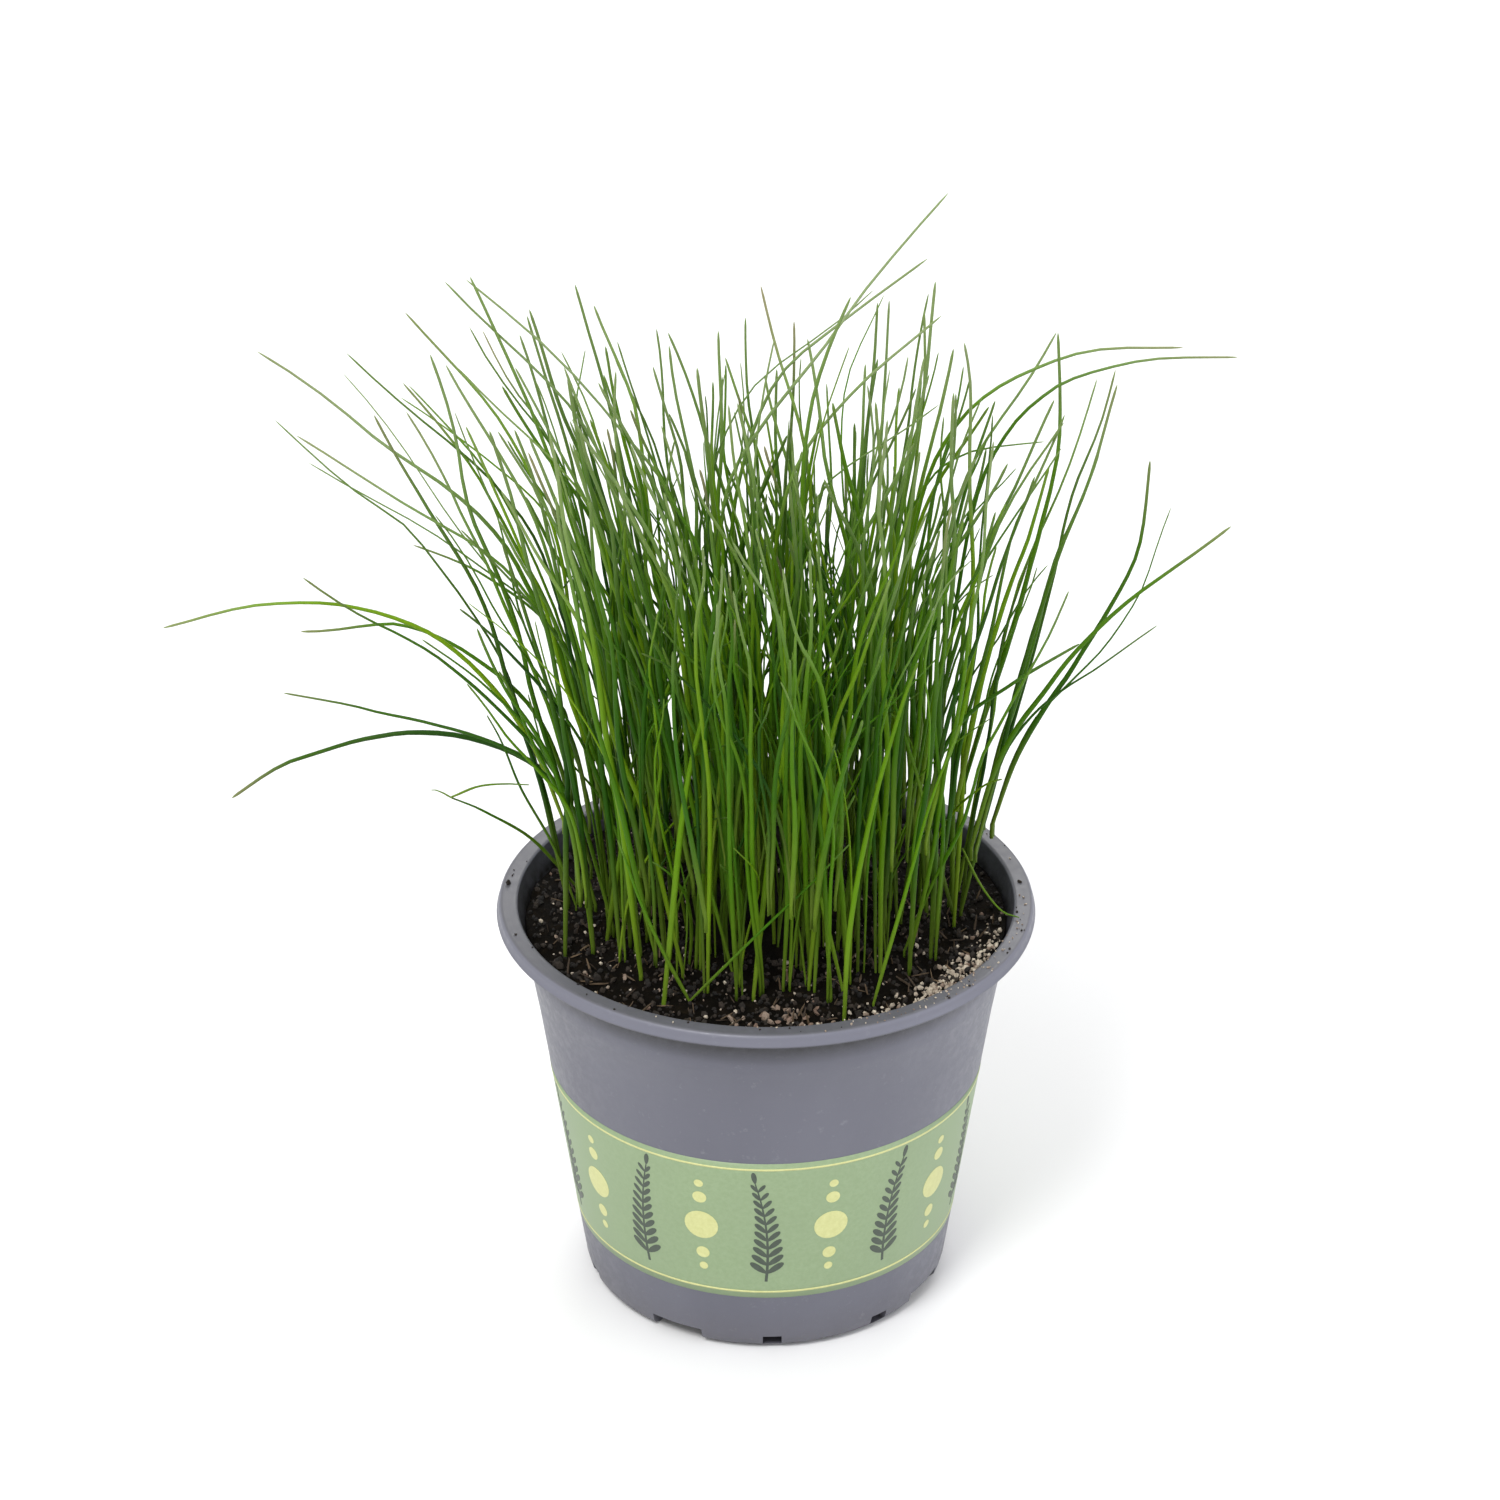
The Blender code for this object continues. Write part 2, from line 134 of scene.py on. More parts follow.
# Leaves
BULB_POINTS = 28                     # points of a bulb in the CAD, the lowest ones of its plant
LEAF_SIDES = 8
LONG_LEAF = 155 * MM
ROOT_DEPTH = 3.5 * MM                # how far a leaf goes on below the soil
WAVE_LENGTH = 42 * MM
RIPPLE_LENGTH = 9 * MM
BOX_MARGIN = 0.6 * MM
INNER_PLANTS = 36 * MM               # nearer to the middle than this, plants have more young leaves
OUTER_PLANTS = 28 * MM               # further to the side than this, leaves lean out more
EDGE_PLANTS = 38 * MM                # further to the side than this, none of them cross the others
MIDDLE_PLANTS = 14 * MM              # nearer to the middle than this, plants have more tall shoots
FAR_TIP = 78 * MM                    # leaves that reach further to the side than this have dulled
FAR_LEAN = 0.45                      # a shoot's greatest lean, as sideways reach over height

# Camera: the photograph's viewpoint
CAMERA_DISTANCE = 1.1
CAMERA_SIDE = -3.85 * MM
CAMERA_ELEVATION = math.radians(32.46)
CAMERA_PITCH = math.radians(28.3)
LENS = 106.7
SENSOR = 36


# ---------------------------------------------------------------- helpers

def add_piece(name, mesh, slot, *nodes):
    """A mesh as a piece that rides on the one body and stands for the CAD nodes named."""
    piece = bpy.data.objects.new(name, mesh)
    bpy.context.scene.collection.objects.link(piece)
    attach(piece, "root")
    if nodes:
        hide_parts(*nodes)
    return piece


def mesh_from(name, vertices, faces, material, smooth=True):
    mesh = bpy.data.meshes.new(name)
    mesh.from_pydata([tuple(v) for v in vertices], [], faces)
    mesh.materials.append(material)
    mesh.polygons.foreach_set("use_smooth", [smooth] * len(mesh.polygons))
    mesh.update()
    return mesh


def set_attribute(mesh, name, values):
    attribute = mesh.attributes.new(name, "FLOAT", "POINT")
    attribute.data.foreach_set("value", np.asarray(values, np.float32))


def arc(centre, radius, start, end, count):
    angles = [math.radians(start + (end - start) * i / (count - 1)) for i in range(count)]
    return [(centre[0] + radius * math.cos(a), centre[1] + radius * math.sin(a)) for a in angles]


# ---------------------------------------------------------------- materials

class Nodes:
    """A short way to write a material's nodes."""

    def __init__(self, name):
        self.material = bpy.data.materials.new(name)
        self.material.use_nodes = True
        self.tree = self.material.node_tree
        self.shader = self.tree.nodes["Principled BSDF"]

    def node(self, kind, inputs=None, **settings):
        node = self.tree.nodes.new(kind)
        for key, value in settings.items():
            setattr(node, key, value)
        for key, value in (inputs or {}).items():
            self.put(node.inputs[key], value)
        return node

    def put(self, socket, value):
        if isinstance(value, bpy.types.NodeSocket):
            self.tree.links.new(value, socket)
        elif isinstance(value, tuple) and len(value) == 3 and socket.type == "RGBA":
            socket.default_value = (*value, 1)
        else:
            socket.default_value = value

    def set(self, **inputs):
        for key, value in inputs.items():
            self.put(self.shader.inputs[key.replace("_", " ")], value)

    def place(self):
        return self.node("ShaderNodeNewGeometry").outputs["Position"]

    def noise(self, scale, detail=4.0, roughness=0.55, vector=None):
        node = self.node("ShaderNodeTexNoise",
                         {"Scale": scale, "Detail": detail, "Roughness": roughness})
        self.put(node.inputs["Vector"], vector or self.place())
        return node.outputs["Fac"]

    def ramp(self, factor, *stops):
        node = self.node("ShaderNodeValToRGB", {"Fac": factor})
        ramp = node.color_ramp
        while len(ramp.elements) < len(stops):
            ramp.elements.new(0.5)
        for element, (position, colour) in zip(ramp.elements, stops):
            element.position = position
            element.color = (*colour, 1)
        return node.outputs["Color"]

    def mix(self, factor, first, second, kind="MIX"):
        node = self.node("ShaderNodeMix", data_type="RGBA", blend_type=kind)
        self.put(node.inputs["Factor"], factor)
        self.put(node.inputs[6], first)
        self.put(node.inputs[7], second)
        return node.outputs[2]

    def math(self, operation, first, second=0.0):
        node = self.node("ShaderNodeMath", operation=operation)
        self.put(node.inputs[0], first)
        self.put(node.inputs[1], second)
        return node.outputs[0]

    def spread(self, value, low, high, to_low=0.0, to_high=1.0):
        node = self.node("ShaderNodeMapRange")
        for socket, number in zip(node.inputs, (value, low, high, to_low, to_high)):
            self.put(socket, number)
        return node.outputs[0]

    def attribute(self, name):
        return self.node("ShaderNodeAttribute", attribute_name=name).outputs["Fac"]

    def bump(self, height, distance, strength=1.0, normal=None):
        node = self.node("ShaderNodeBump",
                         {"Height": height, "Distance": distance, "Strength": strength})
        if normal is not None:
            self.put(node.inputs["Normal"], normal)
        return node.outputs["Normal"]


def leaf_material():
    """Chive leaf: yellowish at the foot, green, greyer towards a long leaf's tip, dry at some ends."""
    n = Nodes("chive_leaf")
    along = n.attribute("along")
    end = n.attribute("end")
    tone = n.attribute("tone")
    dryness = n.attribute("dryness")
    green = n.ramp(tone, (0.0, (0.012, 0.052, 0.004)), (0.35, (0.026, 0.096, 0.002)),
                   (0.7, (0.064, 0.165, 0.002)), (1.0, (0.145, 0.260, 0.004)))
    foot = n.spread(along, 0.02, 0.20, 1.0, 0.0)
    colour = n.mix(n.math("MULTIPLY", foot, 0.5), green, (0.170, 0.225, 0.030))
    colour = n.mix(n.spread(along, 0.30, 0.80, 0.0, 0.45), colour, (0.130, 0.240, 0.020))
    pale = n.math("MULTIPLY", n.spread(along, 0.60, 1.0, 0.0, 0.85), n.spread(tone, 0.0, 0.6, 0.35, 1.0))
    colour = n.mix(pale, colour, (0.250, 0.305, 0.165))
    colour = n.mix(n.spread(end, 0.85, 1.0, 0.0, 0.35), colour, (0.160, 0.200, 0.070))
    dry = n.math("MULTIPLY", n.spread(end, 0.84, 0.97), dryness)
    colour = n.mix(dry, colour, (0.240, 0.220, 0.120))
    stretched = n.node("ShaderNodeMapping", {"Vector": n.place(), "Scale": (1.0, 1.0, 0.12)})
    streaks = n.noise(1400, 3, vector=stretched.outputs["Vector"])
    blotches = n.noise(90, 3)
    colour = n.mix(n.spread(streaks, 0.35, 0.7, 0.0, 0.35), colour, (0.75, 0.80, 0.70), "MULTIPLY")
    colour = n.mix(n.spread(blotches, 0.4, 0.75, 0.0, 0.5), colour, (0.80, 0.86, 0.62), "MULTIPLY")
    n.set(Base_Color=colour, Roughness=n.spread(blotches, 0.3, 0.7, 0.42, 0.58),
          Normal=n.bump(streaks, 0.00012, 0.5))
    n.shader.inputs["Subsurface Weight"].default_value = 0.18
    n.shader.inputs["Subsurface Radius"].default_value = (0.0010, 0.0016, 0.0004)
    n.shader.inputs["Subsurface Scale"].default_value = 0.6
    n.shader.inputs["Specular IOR Level"].default_value = 0.10
    return n.material


def pot_material():
    """Satin blue-grey moulded plastic, with faint flow marks and scuffs, dust at the foot, painted shade
    on top of the rim and under the lip, a painted highlight on the lip's front, and peat on the inside."""
    n = Nodes("pot_plastic")
    flow = n.node("ShaderNodeMapping", {"Vector": n.place(), "Scale": (1.0, 1.0, 0.25)})
    clouds = n.noise(28, 3, vector=flow.outputs["Vector"])
    grain = n.noise(2600, 2)
    scuffs = n.noise(420, 5, 0.7)
    colour = n.mix(n.spread(clouds, 0.3, 0.7), (0.106, 0.107, 0.136), (0.128, 0.130, 0.161))
    colour = n.mix(n.spread(scuffs, 0.60, 0.78, 0.0, 0.35), colour, (0.30, 0.30, 0.32))
    position = n.node("ShaderNodeSeparateXYZ", {"Vector": n.place()})
    height = position.outputs["Z"]
    low = n.math("MULTIPLY", n.spread(height, 0.0, 12 * MM, 0.45, 0.0), scuffs)
    colour = n.mix(low, colour, (0.10, 0.085, 0.07))
    squares = [n.math("MULTIPLY", position.outputs[axis], position.outputs[axis]) for axis in "XY"]
    radius = n.math("SQRT", n.math("ADD", *squares))
    swell = WALL_SWELL[1]
    middle = n.math("ADD", n.spread(height, WALL_TOP[1], swell, WALL_TOP[0] - WALL / 2, WALL_MIDDLE),
                    n.spread(height, swell, POT_HEIGHT - 3 * WALL, 0.0, WALL))
    inside = n.spread(n.math("SUBTRACT", middle, radius), 0.0, 0.1 * MM)
    outside = n.math("SUBTRACT", 1.0, inside)
    # Painted highlight: the lowest millimetre of the lip's outer face is lightened and made bluer, as if
    # it caught the light
    lip_low = POT_HEIGHT - RIM_DROP
    lip_painted_highlight = n.math("MULTIPLY", n.spread(height, lip_low, lip_low + MM, 0.0, 0.55), outside)
    colour = n.mix(lip_painted_highlight, colour, (0.147, 0.149, 0.184))
    # Painted shade: the rim's flat top is darkened and greyed, most where scuffs are few
    rim_top_painted_shade = n.math("MULTIPLY", n.spread(height, POT_HEIGHT - 0.3 * MM, POT_HEIGHT - 0.1 * MM),
                     n.spread(scuffs, 0.3, 0.7, 0.95, 0.7))
    colour = n.mix(rim_top_painted_shade, colour, (0.090, 0.089, 0.100))
    # Peat stuck to the inner side of the wall, between the soil and the rim
    smear = n.math("MULTIPLY", n.spread(height, SOIL_TOP, POT_HEIGHT - MM, 1.0, 0.35),
                   n.spread(n.noise(300, 4, 0.7), 0.35, 0.6, 0.55, 1.0))
    smear = n.math("MULTIPLY", n.math("MULTIPLY", smear, inside),
                   n.spread(height, WALL_TOP[1], WALL_TOP[1] + MM))
    colour = n.mix(smear, colour, (0.006, 0.005, 0.004))
    # Painted shade on the outer wall under the lip: darkest over the 4.5 mm just below it, fading out 9 mm
    # down
    under_lip_painted_shade = n.math("MULTIPLY", n.spread(height, lip_low - 9 * MM, lip_low - 4.5 * MM, 0.0, 0.95),
                       n.spread(height, lip_low, lip_low + 0.5 * MM, 1.0, 0.0))
    under_lip_painted_shade = n.math("MULTIPLY", n.math("MULTIPLY", under_lip_painted_shade, outside),
                       n.spread(scuffs, 0.3, 0.7, 0.8, 1.0))
    colour = n.mix(under_lip_painted_shade, colour, (0.028, 0.027, 0.030))
    n.set(Base_Color=colour, Roughness=n.spread(scuffs, 0.35, 0.75, 0.36, 0.56),
          Normal=n.bump(clouds, 0.0006, 0.35, n.bump(grain, 0.00003, 0.5)))
    n.shader.inputs["Specular IOR Level"].default_value = 0.45
    return n.material


def print_material(name, colour, other):
    """Screen-printed ink: slightly mottled where the plastic shows through."""
    n = Nodes(name)
    mottle = n.noise(900, 4, 0.65)
    clouds = n.noise(40, 2)
    base = n.mix(n.spread(mottle, 0.35, 0.7), colour, other)
    base = n.mix(n.spread(clouds, 0.35, 0.7, 0.0, 0.3), base, tuple(0.85 * c for c in other))
    n.set(Base_Color=base, Roughness=n.spread(mottle, 0.3, 0.7, 0.40, 0.52),
          Normal=n.bump(mottle, 0.00002, 0.5))
    return n.material


def soil_material():
    """Damp peat: near-black brown with lighter fibres and specks."""
    n = Nodes("soil")
    lumps = n.noise(260, 6, 0.7)
    specks = n.noise(1500, 3, 0.6)
    colour = n.ramp(lumps, (0.30, (0.0012, 0.0008, 0.0005)), (0.52, (0.0035, 0.0024, 0.0013)),
                    (0.70, (0.012, 0.008, 0.004)))
    colour = n.mix(n.spread(specks, 0.68, 0.76, 0.0, 0.5), colour, (0.11, 0.075, 0.045))
    n.set(Base_Color=colour, Roughness=n.spread(lumps, 0.3, 0.7, 0.80, 0.98),
          Normal=n.bump(lumps, 0.0012, 0.8, n.bump(specks, 0.0003, 0.7)))
    n.shader.inputs["Specular IOR Level"].default_value = 0.08
    return n.material


def grain_material(name, dark, light, roughness):
    """Crumbs and grit: every grain its own shade between two colours."""
    n = Nodes(name)
    shade = n.attribute("shade")
    mottle = n.noise(2200, 4, 0.65)
    colour = n.mix(shade, dark, light)
    colour = n.mix(n.spread(mottle, 0.35, 0.7, 0.0, 0.5), colour, (0.6, 0.55, 0.5), "MULTIPLY")
    n.set(Base_Color=colour, Roughness=n.spread(mottle, 0.3, 0.7, roughness - 0.15, roughness),
          Normal=n.bump(mottle, 0.0003, 0.7))
    return n.material


# ---------------------------------------------------------------- pot

def pot_outline():
    """The pot's section, from the middle of its underside round to the middle of its floor."""
    floor_top = BASE_LIFT + WALL
    outer_round = (RIM_RADIUS - LIP_INSET - RIM_ROUND, POT_HEIGHT - RIM_ROUND)
    inner_round = (RIM_INNER_RADIUS + WALL, POT_HEIGHT - WALL)
    lip_inner = RIM_RADIUS - WALL
    foot_round = arc((FOOT_OUTER - 0.6 * MM, 0.8 * MM), 0.8 * MM, -90, -25, 5)
    return [
        (0, BASE_LIFT),
        (FOOT_INNER - BASE_LIFT / 2, BASE_LIFT),
        (FOOT_INNER, 0),
        *foot_round,
        (FOOT_OUTER + 1.2 * MM, 0.9 * MM),
        (WALL_FOOT[0] - 0.5 * MM, WALL_FOOT[1] / 2),
        WALL_FOOT,
        WALL_BEND,
        (57.35 * MM, STEP_LINE - 0.35 * MM),
        (57.62 * MM, STEP_LINE + 0.1 * MM),
        WALL_TOP,
        (58.2 * MM, 92.4 * MM),
        (58.7 * MM, 95 * MM),
        WALL_SWELL,
        (RIM_INNER_RADIUS + WALL - 0.3 * MM, POT_HEIGHT - 3 * WALL),
        (RIM_INNER_RADIUS + 1.3 * WALL, POT_HEIGHT - 1.5 * WALL),
        (RIM_INNER_RADIUS + 2.4 * WALL, POT_HEIGHT - WALL),
        (lip_inner - 0.5 * MM, POT_HEIGHT - WALL),
        (lip_inner, POT_HEIGHT - WALL - 0.4 * MM),
        (lip_inner, POT_HEIGHT - RIM_DROP + 0.2 * MM),
        *arc((RIM_RADIUS - WALL / 2, POT_HEIGHT - RIM_DROP + WALL / 2), WALL / 2, -160, 55, 9),
        *arc(outer_round, RIM_ROUND, 5, 90, 7),
        ((RIM_INNER_RADIUS + RIM_RADIUS) / 2, POT_HEIGHT - 0.12 * MM),
        *arc(inner_round, WALL, 90, 180, 7),
        (RIM_INNER_RADIUS - 0.4 * MM, POT_HEIGHT - 3 * WALL),
        (WALL_FLARE[0] - WALL, WALL_FLARE[1]),
        (WALL_TOP[0] - WALL, WALL_TOP[1]),
        (WALL_BEND[0] - WALL, WALL_BEND[1]),
        (WALL_FOOT[0] - WALL, WALL_FOOT[1] + 1 * MM),
        (WALL_FOOT[0] - 3 * MM, floor_top),
        (0, floor_top),
    ]


def turned(name, outline, steps, material):
    """A solid of revolution from an outline that starts and ends on the axis."""
    maker = bmesh.new()
    points = [maker.verts.new((radius, 0, height)) for radius, height in outline]
    edges = [maker.edges.new(pair) for pair in zip(points, points[1:])]
    bmesh.ops.spin(maker, geom=points + edges, cent=(0, 0, 0), axis=(0, 0, 1),
                   angle=2 * math.pi, steps=steps)
    bmesh.ops.remove_doubles(maker, verts=maker.verts, dist=0.004 * MM)
    bmesh.ops.recalc_face_normals(maker, faces=maker.faces)
    mesh = bpy.data.meshes.new(name)
    maker.to_mesh(mesh)
    maker.free()
    mesh.materials.append(material)
    return mesh


def foot_openings():
    """The openings through the foot: (width, low, high, degrees to the right of the front)."""
    arches = [FIRST_ARCH + 360 / ARCHES * index for index in range(ARCHES)]
    openings = [(*ARCH, place) for place in arches]
    for index in range(2 * WINDOWS):
        place = FIRST_WINDOW + index * 180 / WINDOWS
        size = NICK if index % 2 else WINDOW
        if all(abs((place - arch + 180) % 360 - 180) > ARCH_ROOM for arch in arches):
            openings.append((*size, place))
    return openings


def make_pot(material):
    pot = add_piece("plastic_pot", turned("plastic_pot", pot_outline(), POT_STEPS, material),
                    "pot_plastic", "pot")
    cutter_maker = bmesh.new()

    def opening(size, out, middle, angle):
        place = (Matrix.Rotation(angle, 4, "Z") @ Matrix.Translation((out, 0, middle))
                 @ Matrix.Diagonal((*size, 1)))
        bmesh.ops.create_cube(cutter_maker, size=1, matrix=place)

    for width, low, high, place in foot_openings():
        opening((FOOT_CUT, width, high - low), (FOOT_INNER + WALL_FOOT[0]) / 2, (low + high) / 2,
                math.radians(place) + FRONT)
    length, width = DRAIN_SLOT
    for index in range(DRAIN_SLOTS):
        opening((length, width, 6 * WALL), DRAIN_SLOT_RADIUS, BASE_LIFT + WALL / 2,
                2 * math.pi * index / DRAIN_SLOTS)
    cutter_mesh = bpy.data.meshes.new("pot_cutter")
    cutter_maker.to_mesh(cutter_mesh)
    cutter_maker.free()
    cutter = bpy.data.objects.new("pot_cutter", cutter_mesh)
    bpy.context.scene.collection.objects.link(cutter)
    boolean = pot.modifiers.new("drains", "BOOLEAN")
    boolean.object = cutter
    boolean.solver = "EXACT"
    bake_modifiers(pot)
    bpy.data.objects.remove(cutter)
    pot.data.shade_smooth()
    pot.data.set_sharp_from_angle(angle=math.radians(32))


def bake_modifiers(piece):
    """Replaces a piece's mesh by what its modifiers make of it."""
    graph = bpy.context.evaluated_depsgraph_get()
    made = bpy.data.meshes.new_from_object(piece.evaluated_get(graph))
    piece.modifiers.clear()
    piece.data = made


def wall_radius(height):
    """Outside radius of the wall at a height."""
    corners = (WALL_FOOT, WALL_BEND, WALL_TOP)
    return float(np.interp(height, [c[1] for c in corners], [c[0] for c in corners]))


def on_wall(angle, height, raise_by):
    """A point on the wall, raised a little; the angle is counted from the front, to the right."""
    radius = wall_radius(height) + raise_by
    return (radius * math.sin(angle), -radius * math.cos(angle), height)


def wall_ring(name, low, high, rows, raised, sunk, material):
    """A thin closed sheet round the whole wall, between two heights."""
    vertices = []
    for raise_by in (raised, sunk):
        for row in range(rows + 1):
            for column in range(POT_STEPS):
                vertices.append(on_wall(2 * math.pi * (column / POT_STEPS),
                                        low + (high - low) * (row / rows), raise_by))

    def index(layer, row, column):
        return (layer * (rows + 1) + row) * POT_STEPS + column % POT_STEPS

    faces = []
    for row in range(rows):
        for column in range(POT_STEPS):
            quad = ((row, column), (row, column + 1), (row + 1, column + 1), (row + 1, column))
            faces.append([index(0, *corner) for corner in quad])
            faces.append([index(1, *corner) for corner in reversed(quad)])
    for column in range(POT_STEPS):
        for row, first, second in ((0, 1, 0), (rows, 0, 1)):
            faces.append([index(first, row, column), index(first, row, column + 1),
                          index(second, row, column + 1), index(second, row, column)])
    return add_piece(name, mesh_from(name, vertices, faces, material), "pot_plastic")


class Print:
    """Ink shapes collected into one mesh of thin closed solids on the wall."""

    RINGS = 2

    def __init__(self, height):
        self.vertices = []
        self.faces = []
        self.radius = wall_radius(height)
        self.height = height

    def wall_point(self, place, raise_by):
        across, up = place
        return on_wall(across / self.radius, self.height + up, raise_by)

    def blob(self, outline):
        """A shape round its middle, given by its outline's points."""
        middle = Vector((sum(p[0] for p in outline), sum(p[1] for p in outline))) / len(outline)
        count = len(outline)
        layers = []
        for raise_by in (PRINT_RAISE, 0.0):
            start = len(self.vertices)
            self.vertices.append(self.wall_point(middle, raise_by))
            for ring in range(1, self.RINGS + 1):
                for p in outline:
                    place = middle.lerp(Vector(p), ring / self.RINGS)
                    self.vertices.append(self.wall_point(place, raise_by))
            layers.append(start)
        top, low = layers
        outer = 1 + (self.RINGS - 1) * count
        for i in range(count):
            j = (i + 1) % count
            self.faces.append([top, top + 1 + i, top + 1 + j])
            self.faces.append([low, low + 1 + j, low + 1 + i])
            for ring in range(self.RINGS - 1):
                a, b = 1 + ring * count, 1 + (ring + 1) * count
                self.faces.append([top + a + i, top + b + i, top + b + j, top + a + j])
                self.faces.append([low + a + j, low + b + j, low + b + i, low + a + i])
            self.faces.append([low + outer + i, low + outer + j, top + outer + j, top + outer + i])

    def stroke(self, points, widths):
        """A line through the points, of the widths given."""
        start = len(self.vertices)
        count = len(points)
        for i, p in enumerate(points):
            ahead = Vector(points[min(i + 1, count - 1)]) - Vector(points[max(i - 1, 0)])
            side = Vector((-ahead.y, ahead.x)).normalized() * widths[i] / 2
            for raise_by in (PRINT_RAISE, 0.0):
                for sign in (1, -1):
                    self.vertices.append(self.wall_point(Vector(p) + side * sign, raise_by))
        for i in range(count - 1):
            a, b = start + 4 * i, start + 4 * (i + 1)
            self.faces += [[a, a + 1, b + 1, b], [a + 3, a + 2, b + 2, b + 3],
                           [a + 2, a, b, b + 2], [a + 1, a + 3, b + 3, b + 1]]
        end = start + 4 * (count - 1)
        self.faces += [[start, start + 2, start + 3, start + 1], [end, end + 1, end + 3, end + 2]]

    def piece(self, name, material):
        mesh = mesh_from(name, self.vertices, self.faces, material, smooth=False)
        return add_piece(name, mesh, "pot_plastic")


def leaf_outline(foot, direction, length, width, count=14):
    """Points round a plain pointed leaf shape."""
    along = Vector((math.cos(direction), math.sin(direction)))
    side = Vector((-along.y, along.x))
    points = []
    for i in range(count):
        t = 2 * math.pi * i / count
        reach = (1 - math.cos(t)) / 2
        half = math.sin(t) * abs(math.sin(t / 2)) ** 0.4
        points.append(Vector(foot) + along * length * reach + side * width / 2 * half)
    return points


def make_band(sage, ink, straw):
    """The pale printed band round the pot, with a plain repeat of leafy twigs and dots."""
    wall_ring("print_band", BAND_BOTTOM, BAND_TOP, BAND_ROWS, BAND_RAISE, -BAND_RAISE, sage)
    for name, height in BAND_LINES:
        wall_ring(name, height, height + BAND_LINE_WIDTH, 1, PRINT_RAISE, 0.0, straw)

    height = (BAND_BOTTOM + BAND_TOP) / 2
    twigs = Print(height)
    dots = Print(height)
    pitch = 2 * math.pi * twigs.radius / BAND_REPEATS
    for index in range(BAND_REPEATS):
        centre = index * pitch
        lean = 1 if index % 2 else -1
        stem = []
        for i in range(TWIG_STEPS + 1):
            t = i / TWIG_STEPS
            stem.append((centre + lean * (5.5 * t * t - 3.0 * t) * MM, (-16 + 31 * t) * MM))
        twigs.stroke(stem, [(0.75 - 0.45 * i / TWIG_STEPS) * MM for i in range(TWIG_STEPS + 1)])
        for i in range(1, TWIG_STEPS):
            x, y = stem[i]
            size = (1 - 0.045 * i) * MM
            for side in (1, -1):
                direction = math.radians(90 - side * (52 - 1.5 * i))
                twigs.blob(leaf_outline((x, y), direction, 5.6 * size, 2.1 * size))
        twigs.blob(leaf_outline(stem[-1], math.radians(90 - lean * 8), 3.6 * MM, 1.4 * MM))
        for up, radius in DOT_COLUMN:
            middle = Vector((centre + pitch / 2, up * MM))
            ring = [middle + Vector((math.cos(a), math.sin(a))) * radius * MM
                    for a in (2 * math.pi * k / DOT_POINTS for k in range(DOT_POINTS))]
            dots.blob(ring)
    twigs.piece("print_twigs", ink)
    dots.piece("print_dots", straw)


# ---------------------------------------------------------------- soil

def soil_height(x, y):
    """The soil's surface: lumps of three sizes, and a small heap against the rim at the front right."""
    place = Vector((x, y, 0.31))
    lumps = (1.3 * noise.noise(place * 75) + 0.7 * noise.noise(place * 190)
             + 0.4 * noise.noise(place * 420))
    radius = math.hypot(x, y)
    angle = math.degrees(math.atan2(x, -y))
    edge = max(0.0, (radius / SOIL_RADIUS - 0.80) / 0.20)
    heap = 3.6 * edge ** 1.5 * math.exp(-((angle - HEAP_ANGLE) / 26) ** 2)
    return SOIL_TOP + (lumps + heap - 0.4) * MM


def make_soil(material):
    """The root ball: a lumpy top, a side that follows the wall, and a flat bottom."""
    angles = [2 * math.pi * step / SOIL_STEPS for step in range(SOIL_STEPS)]
    vertices = [(0, 0, soil_height(0, 0))]
    for ring in range(1, SOIL_RINGS + 1):
        radius = SOIL_RADIUS * ring / SOIL_RINGS
        for angle in angles:
            x, y = radius * math.cos(angle), radius * math.sin(angle)
            vertices.append((x, y, soil_height(x, y)))
    side = [(WALL_TOP[0] - WALL, WALL_TOP[1]), (WALL_BEND[0] - WALL, WALL_BEND[1]),
            (WALL_FOOT[0] - WALL, WALL_FOOT[1] + 1.6 * MM), (WALL_FOOT[0] - 3.4 * MM, SOIL_BOTTOM)]
    for radius, height in side:
        radius -= SOIL_GAP
        vertices += [(radius * math.cos(angle), radius * math.sin(angle), height) for angle in angles]
    vertices.append((0, 0, SOIL_BOTTOM))
    faces = []
    last = 1 + (SOIL_RINGS + len(side) - 1) * SOIL_STEPS
    for step in range(SOIL_STEPS):
        after = (step + 1) % SOIL_STEPS
        faces.append([0, 1 + step, 1 + after])
        for a in range(1, last, SOIL_STEPS):
            b = a + SOIL_STEPS
            faces.append([a + step, b + step, b + after, a + after])
        faces.append([last + step, len(vertices) - 1, last + after])
    return add_piece("soil_block", mesh_from("soil_block", vertices, faces, material), "soil", "soil")


def lump_shape():
    """Vertices and faces of a ball to be dented into a crumb."""
    maker = bmesh.new()
    bmesh.ops.create_icosphere(maker, subdivisions=1, radius=1)
    vertices = np.array([v.co[:] for v in maker.verts])
    faces = [[v.index for v in face.verts] for face in maker.faces]
    maker.free()
    return vertices, faces


